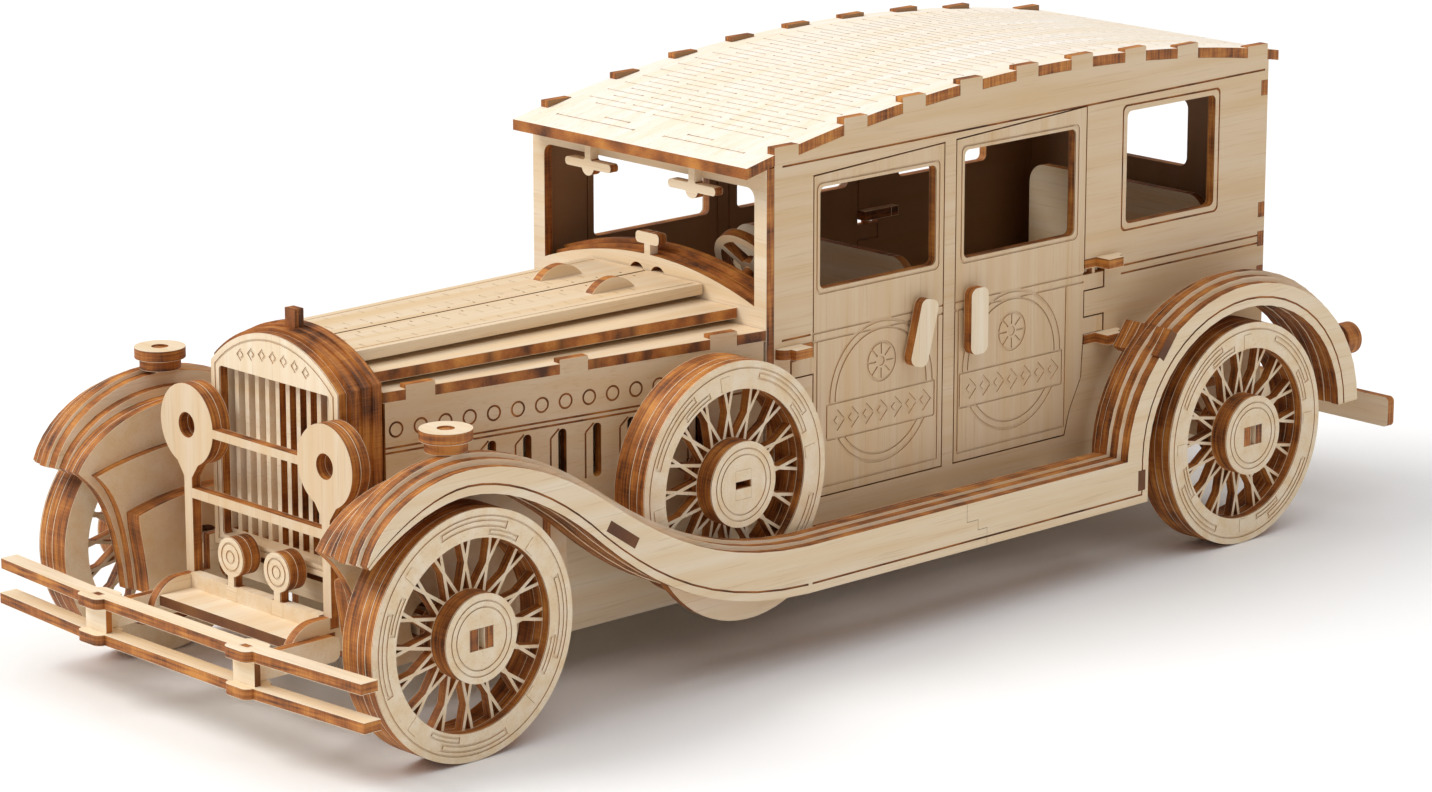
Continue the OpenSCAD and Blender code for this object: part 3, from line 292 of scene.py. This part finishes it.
# %% Colour of the face
FIBRE_LONG, FIBRE_WIDE = 14, 0.35
BAND_LONG, BAND_WIDE = 60, 3
# how far the painted shade darkens the inner faces
INSIDE_SHADE = 0.85


def face_colour(tree, place, fibre, along, tone_and_shade, bent, on_shaded_back):
    """Pale and warm bands, fibre dashes, the plate's tone, which is painted shade on the side plates, and
    painted shade on the back.
    """
    bands = noise_at(tree, place, np.where(along, BAND_LONG, BAND_WIDE) * MM, 3.1)
    # the bent roof faces up and gets the lighter colour of a lit top: painted light
    light, warm = (FACE_LIT_TOP, FACE_PALE) if bent else (FACE_PALE, FACE_WARM)
    face = blend(tree, spread(tree, bands, 0.3, 0.72), linear(light), linear(warm))
    dashes = spread(tree, fibre, 0.56, 0.84, 0, 0.45 + 0.1 * tone_and_shade)
    face = blend(tree, dashes, face, linear(FACE_LINE))
    # the plate's tone darkens the face: painted shade on the side plates, doors, bonnet sides and inner
    # fenders
    if tone_and_shade > 0:
        face = blend(tree, tone_and_shade, face, linear(FACE_LINE))
    # the back of the cabin walls and the roof's underside are blended towards dark brown: painted shade
    if on_shaded_back is not None:
        face = blend(tree, calc(tree, "MULTIPLY", on_shaded_back, INSIDE_SHADE), face, linear(FACE_INSIDE_SHADE))
    return face


print("face: fibres of", FIBRE_LONG, "x", FIBRE_WIDE, "mm in bands of", BAND_LONG, "x", BAND_WIDE, "mm")

# %% [markdown]
# ## The burnt edge
# The cut edge shows the layers of the sheet as streaks, patches where the beam was slow, and the
# laser's pulses as tiny ticks across the layers. The line where two sheets of a stack meet is nearly
# black. The streaks could be modelled, but they have no depth, so three noises and a ramp of browns
# are enough, and the distance from the first face gives the dark lines at every 2 mm.

# %% Colour of the edge
ACROSS_LAYERS = 0.7
STREAK_THICK, STREAK_LONG = 0.5, 9
PATCH = 6
PULSE_TALL, PULSE_WIDE = 6, 0.35
GLUE_HALF = 0.22 * MM


def edge_colour(tree, place, planes):
    """Streaks, patches and pulses through a ramp of browns, with dark lines between the sheets."""
    sheet = np.array(planes[0][0] if planes else (1, 0, 0), float)
    through = np.abs(sheet) > ACROSS_LAYERS
    streak = noise_at(tree, place, np.where(through, STREAK_THICK, STREAK_LONG) * MM, 1.7, 3.0)
    patch = noise_at(tree, place, np.full(3, PATCH) * MM, 5.3)
    pulse = noise_at(tree, place, np.where(through, PULSE_TALL, PULSE_WIDE) * MM, 9.1)
    burn = calc(tree, "ADD", streak, patch)
    burn = calc(tree, "ADD", burn, spread(tree, pulse, 0, 1, -0.16, 0.16))
    ramp = add(tree, "ShaderNodeValToRGB", {"Fac": spread(tree, burn, 0.7, 1.32)})
    ramp.color_ramp.elements[0].color = linear(EDGE_DARK)
    ramp.color_ramp.elements[1].color = linear(EDGE_LIGHT)
    ramp.color_ramp.elements.new(0.48).color = linear(EDGE_MID)
    if not planes:
        return ramp.outputs[0]
    away = calc(tree, "SUBTRACT", distance_along(tree, place, sheet), planes[0][1])
    near = calc(tree, "PINGPONG", away, SHEET / 2)
    return blend(tree, spread(tree, near, 0, GLUE_HALF, 0.75, 0), ramp.outputs[0], linear(EDGE_DARK))


print("edge: streaks, patches, pulses, and a dark line every", SHEET / MM, "mm")

# %% [markdown]
# ## The whole plywood
# Face and edge are one piece of wood, so they are one material, and the face mask chooses between
# them. Bare sanded birch is matt, with a roughness near 0.6. The fibres also stand up a few hundredths
# of a millimetre, which a bump shows without any change to the plate's shape.

# %% The plywood material
def plywood(name, planes, along, tone_and_shade, bent, inside):
    """Birch plywood: wood on the faces, burnt edge everywhere else; along marks the grain's axis."""
    mat, tree = new_material(name)
    where = add(tree, "ShaderNodeTexCoord")
    place = where.outputs["Object"]
    if bent:
        on_face, on_shaded_back = bent_masks(tree, where.outputs["Normal"])
    else:
        on_face, on_shaded_back = flat_masks(tree, place, planes, inside)
    fibre = noise_at(tree, place, np.where(along, FIBRE_LONG, FIBRE_WIDE) * MM, detail=3.0)
    face = face_colour(tree, place, fibre, along, tone_and_shade, bent, on_shaded_back)
    colour = blend(tree, on_face, edge_colour(tree, place, planes), face)
    sockets = {"Height": fibre, "Strength": 0.12, "Distance": 0.05 * MM}
    bump = add(tree, "ShaderNodeBump", sockets).outputs[0]
    add_wood(tree, colour, 0.62, Normal=bump)
    return mat


print("plywood with faces, burnt edges and glue lines")

# %% [markdown]
# ## Every plate gets its wood
# The grain runs along the longest side of a plate, as a kit maker lays the pieces on the sheet; only the lamp
# frame stands upright. Each plate is blended towards the dark fibre colour by its own amount. On the side
# plates, the doors, the bonnet sides and the inner fenders this is painted shade, for the half shade that
# falls on them, and on the other plates it only makes them darker. One material per plate would be a waste
# for painted parts, but each plate has its own planes and its own grain, so here each one gets its own.

# %% Wood on the plates
# how far each plate is darkened; on the sides, doors, bonnet sides and inner fenders it is painted shade
TONES_AND_SHADE = {
    "side_panel": 0.42, "door_front": 0.45, "door_rear": 0.45, "bonnet_side": 0.46, "rear_panel": 0.3,
    "inner_fenders": 0.4, "lamp_frame": 0.34, "bonnet_": 0.28, "fender_": 0.16, "front_": 0.12, "rear_": 0.12,
    "spare_": 0.12, "chassis": 0.12, "grille": 0.1,
}
STACKS = (
    "fender_stack_left", "fender_stack_right", "front_tyres", "rear_tyres", "spare_tyres",
    "front_hubs", "rear_hubs", "spare_hubs", "inner_fenders",
)
# plates whose inner face gets painted shade
INSIDE = ("side_panel", "door_front", "door_rear", "rear_panel", "windscreen", "bonnet_side")
SHARES = {"lamp_frame": 0.2, "bonnet_flap_left": 0.01, "bonnet_flap_right": 0.01}
STACK_SHARE, PLATE_SHARE = 0.02, 0.1
NO_PLANES = ("radiator_shell", "dashboard", "radiator_cap", "roof")
for name, node in NODES.items():
    low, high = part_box(name)
    axis = 2 if name == "lamp_frame" else int(np.argmax(np.array(high) - np.array(low)))
    tone_and_shade = max([t for start, t in TONES_AND_SHADE.items() if name.startswith(start)] + [0.0])
    stack = name in STACKS
    share = SHARES.get(name, STACK_SHARE if stack else PLATE_SHARE)
    planes = [] if name in NO_PLANES else face_planes(name, share, stack)
    wood = plywood(
        f"birch_ply_{name}", planes, np.arange(3) == axis, tone_and_shade, name == "roof", name.startswith(INSIDE)
    )
    node.data.materials.clear()
    node.data.materials.append(wood)
    print(f"{name}: {len(planes)} face planes")

# %% [markdown]
# ## Lines that the laser only scorched
# A scorched line is a strip of brown wood with no depth that the eye can see. It could be painted into
# the wood's material, but a thin ribbon of mesh keeps its edge sharp from near by. Each ribbon has a
# burnt dot at both ends, where the beam started and stopped. The ribbons lie 0.03 mm above the wood
# and turn with the body that they are on.

# %% Ribbons on the wood
LIFT = 0.03 * MM
DOT_LONG = 0.35 * MM
DOT_END = 0.4 * MM


def ribbons(name, lines, height, wide, dot, body, burn):
    """One strip per line (x0, y0, x1, y1); dot is its half width near the ends, wide between them."""
    lines = np.array(lines, float)
    start, end = lines[:, :2], lines[:, 2:]
    run = end - start
    along = run / np.linalg.norm(run, axis=1, keepdims=True)
    across = np.column_stack([-along[:, 1], along[:, 0]])
    half_way = [(0.0, dot), (DOT_LONG, dot), (DOT_END, wide)]
    stations = [(start + along * away, half) for away, half in half_way]
    stations += [(end - along * away, half) for away, half in reversed(half_way)]
    points = []
    for middle, half in stations:
        points += [middle + across * half, middle - across * half]
    flat = np.stack(points, axis=1).reshape(-1, 2)
    solid = np.column_stack([flat, height(flat[:, 0]) + LIFT])
    first = (np.arange(len(lines)) * len(points))[:, None, None]
    quad = np.array([(2 * k, 2 * k + 1, 2 * k + 3, 2 * k + 2) for k in range(len(stations) - 1)])[None]
    mesh = bpy.data.meshes.new(name)
    mesh.from_pydata(solid.tolist(), [], (first + quad).reshape(-1, 4).tolist())
    piece = bpy.data.objects.new(name, mesh)
    bpy.context.scene.collection.objects.link(piece)
    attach(piece, body)
    piece.data.materials.append(burn)
    print(f"{name}: {len(lines)} ribbons on {body}")


print("ribbons lie", LIFT / MM, "mm above the wood")

# %% [markdown]
# ## The colour of a scorched line
# A scorched line is lighter than a cut edge, because the beam only passed over it, and it is blotchy,
# because wood chars unevenly. Charred wood is rougher than the bare sheet. One flat brown would look
# printed, so noise mixes a pale and a dark burn.

# %% The scorched line's own material
def scorch(name, pale, dark, size):
    """Noise of that size mixes a pale and a dark burn."""
    mat, tree = new_material(name)
    place = add(tree, "ShaderNodeTexCoord").outputs["Object"]
    blotch = noise_at(tree, place, np.full(3, size), 2.3)
    colour = blend(tree, spread(tree, blotch, 0.36, 0.62), linear(pale), linear(dark))
    add_wood(tree, colour, 0.8)
    return mat


roof_burn = scorch("scorched_birch_slits", "#D8BE98", "#8A6238", 1.2 * MM)
fine_burn = scorch("scorched_birch_fine", "#E2CBA6", "#B08C5C", 1.5 * MM)
print("burns:", roof_burn.name, "and", fine_burn.name)

# %% [markdown]
# ## Slits in the roof
# A flat sheet can't follow the bend of the roof. Real slits would be hundreds of thin holes in the
# solid, so here each one is a ribbon 0.12 mm wide. The roof bends in one direction only, so its height
# depends only on x, as on a circle.

# %% Slits in the roof
ROOF_RADIUS = 370 * MM
ROOF_CREST = -52.75 * MM
SLIT = 14.0 * MM
BRIDGE = 2.2 * MM
PITCH = 2.3 * MM
ROWS = 62
HALF_WIDTH = 27.5 * MM
SHORTEST = 3 * MM
roof_high = np.array(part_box("roof")[1], float)


def roof_height(x):
    """Height of a circle's top at x: the crest's height - radius + sqrt(radius ** 2 - (x - crest) ** 2)."""
    return roof_high[2] - ROOF_RADIUS + np.sqrt(ROOF_RADIUS ** 2 - (x - ROOF_CREST) ** 2)


slit_front = roof_high[0] - 13 * MM
slits = []
for row in range(ROWS):
    x = slit_front - row * PITCH
    shift = (SLIT + BRIDGE) / 2 if row % 2 else 0.0
    for column in range(-2, 3):
        y0 = column * (SLIT + BRIDGE) - SLIT / 2 + shift
        y0, y1 = max(y0, -HALF_WIDTH), min(y0 + SLIT, HALF_WIDTH)
        if y1 - y0 > SHORTEST:
            slits.append((x, y0, x, y1))
ribbons("roof_slits", slits, roof_height, 0.06 * MM, 0.17 * MM, "chassis", roof_burn)

# %% [markdown]
# ## Two thin ornaments near the front edge of the roof
# In front of the slits each half of the roof has a long and a short cross line, a little wider than a
# slit. They are only decoration. The same ribbons draw them, so they follow the bend of the roof.

# %% Two thin ornaments near the front edge of the roof
TRIM = ((5.5, 4, 26), (8.0, 8, 15))
trim = []
for side in (-1, 1):
    for back, y0, y1 in TRIM:
        x = roof_high[0] - back * MM
        trim.append((x, side * y0 * MM, x, side * y1 * MM))
ribbons("roof_ornaments", trim, roof_height, 0.1 * MM, 0.3 * MM, "chassis", roof_burn)

# %% [markdown]
# ## Fine cross lines on the bonnet flaps
# The bonnet has pairs of short lines along both sides of its middle, like the ribs of a real bonnet.
# They have no depth, so ribbons are enough. The left lines ride on the left flap and the right ones on
# the right flap, so that they go with it when it opens.

# %% Fine cross lines on the bonnet flaps
BONNET_TOP = 66.0 * MM
LINE_ROWS = 17
FIRST_LINE, LINE_PITCH = 6, 4
LINE_ENDS = ((3.2, 5.4), (9.2, 10.8))
flap_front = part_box("bonnet_flap_left")[1][0]


def bonnet_height(x):
    """The same height everywhere: the top of the flat bonnet plates."""
    return np.full_like(x, BONNET_TOP)


for body, side in (("bonnet_left", 1), ("bonnet_right", -1)):
    lines = []
    for row in range(LINE_ROWS):
        x = flap_front - (FIRST_LINE + LINE_PITCH * row) * MM
        for y0, y1 in LINE_ENDS:
            lines.append((x, side * y0 * MM, x, side * y1 * MM))
    ribbons(f"{body}_lines", lines, bonnet_height, 0.07 * MM, 0.12 * MM, body, fine_burn)

# %% [markdown]
# ## A white table
# Kits are shown on white. The floor is a large sheet of matt paper that ends far outside the view, so
# no edge of it shows. It lies a tenth of a millimetre under the wheels, and a white surround lights the
# car a little from every side.

# %% Floor and surround
FLOOR_HALF = 6.0
FLOOR_TOP = -0.0001
SURROUND = 0.34
corners = [(x * FLOOR_HALF, y * FLOOR_HALF, FLOOR_TOP) for x, y in ((-1, -1), (1, -1), (1, 1), (-1, 1))]
sheet_of_paper = bpy.data.meshes.new("floor")
sheet_of_paper.from_pydata(corners, [], [(0, 1, 2, 3)])
floor = bpy.data.objects.new("floor", sheet_of_paper)
bpy.context.scene.collection.objects.link(floor)
paper = bpy.data.materials.new("white_paper")
paper.use_nodes = True
paper.node_tree.nodes["Principled BSDF"].inputs["Base Color"].default_value = (0.975, 0.978, 0.985, 1)
paper.node_tree.nodes["Principled BSDF"].inputs["Roughness"].default_value = 0.7
floor.data.materials.append(paper)
floor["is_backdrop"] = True

world = bpy.data.worlds.new("studio")
world.use_nodes = True
world.node_tree.nodes["Background"].inputs[0].default_value = (1, 1, 1, 1)
world.node_tree.nodes["Background"].inputs[1].default_value = SURROUND
bpy.context.scene.world = world
print("floor", 2 * FLOOR_HALF, "m wide, surround", SURROUND)

# %% [markdown]
# ## Two distant soft lights
# The key light stands far away above the front right of the car. It whitens the roof and the radiator
# and leaves the left side in warm half shade. The second one is overhead and very wide, so it fills
# the shadows and has almost none of its own. Lamps near the car would do the same for the car, but the
# white floor would turn grey away from it; a distant light is equally strong everywhere.

# %% Lights
def soft_sun(name, direction, strength, angle, colour):
    """A distant light that shines from that direction; its angle in degrees sets how soft the shadows are."""
    lamp = bpy.data.lights.new(name, "SUN")
    lamp.energy = strength
    lamp.angle = math.radians(angle)
    lamp.color = colour
    piece = bpy.data.objects.new(name, lamp)
    bpy.context.scene.collection.objects.link(piece)
    piece.rotation_euler = Vector(direction).to_track_quat("Z", "Y").to_euler()
    print(f"{name}: strength {strength}, {angle} degrees wide")


soft_sun("key", direction=(0.75, -0.62, 1.0), strength=1.7, angle=30, colour=(1.0, 0.985, 0.96))
soft_sun("overhead", direction=(0.05, 0.1, 1.0), strength=1.35, angle=80, colour=(1.0, 1.0, 1.0))

# %% [markdown]
# ## The camera
# A car this small is looked at from close by, but a long lens from almost a metre away keeps its
# wheels round and its lines nearly parallel. The camera stands at the front left, a little above the
# roof, and its place is given by two angles and a distance from the point that it looks at.

# %% Camera
FOCAL_LENGTH, SENSOR_WIDTH = 122.05, 36
AZIMUTH, ELEVATION = math.radians(136.92), math.radians(14.236)
DISTANCE = 0.9303
lens = bpy.data.cameras.new("camera")
lens.sensor_width = SENSOR_WIDTH
lens.lens = FOCAL_LENGTH
lens.clip_start = 0.01
camera = bpy.data.objects.new("camera", lens)
bpy.context.scene.collection.objects.link(camera)
aim = np.array([0.00755, 0.0, 0.0385])
back = np.array([
    math.sin(AZIMUTH) * math.cos(ELEVATION), -math.cos(AZIMUTH) * math.cos(ELEVATION), math.sin(ELEVATION)
])
side = np.cross([0, 0, 1], back)
side /= np.linalg.norm(side)
up = np.cross(back, side)
seat = aim + DISTANCE * back
camera.matrix_world = Matrix([[side[i], up[i], back[i], seat[i]] for i in range(3)] + [[0, 0, 0, 1]])
bpy.context.scene.camera = camera
bpy.context.scene.view_settings.view_transform = "Standard"
print("camera at", np.round(seat / MM, 1), "mm")

# %% [markdown]
# ## Sizes, and the end
# The box of everything that is there now is measured at the end.

# %% Sizes, and the end
low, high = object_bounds()
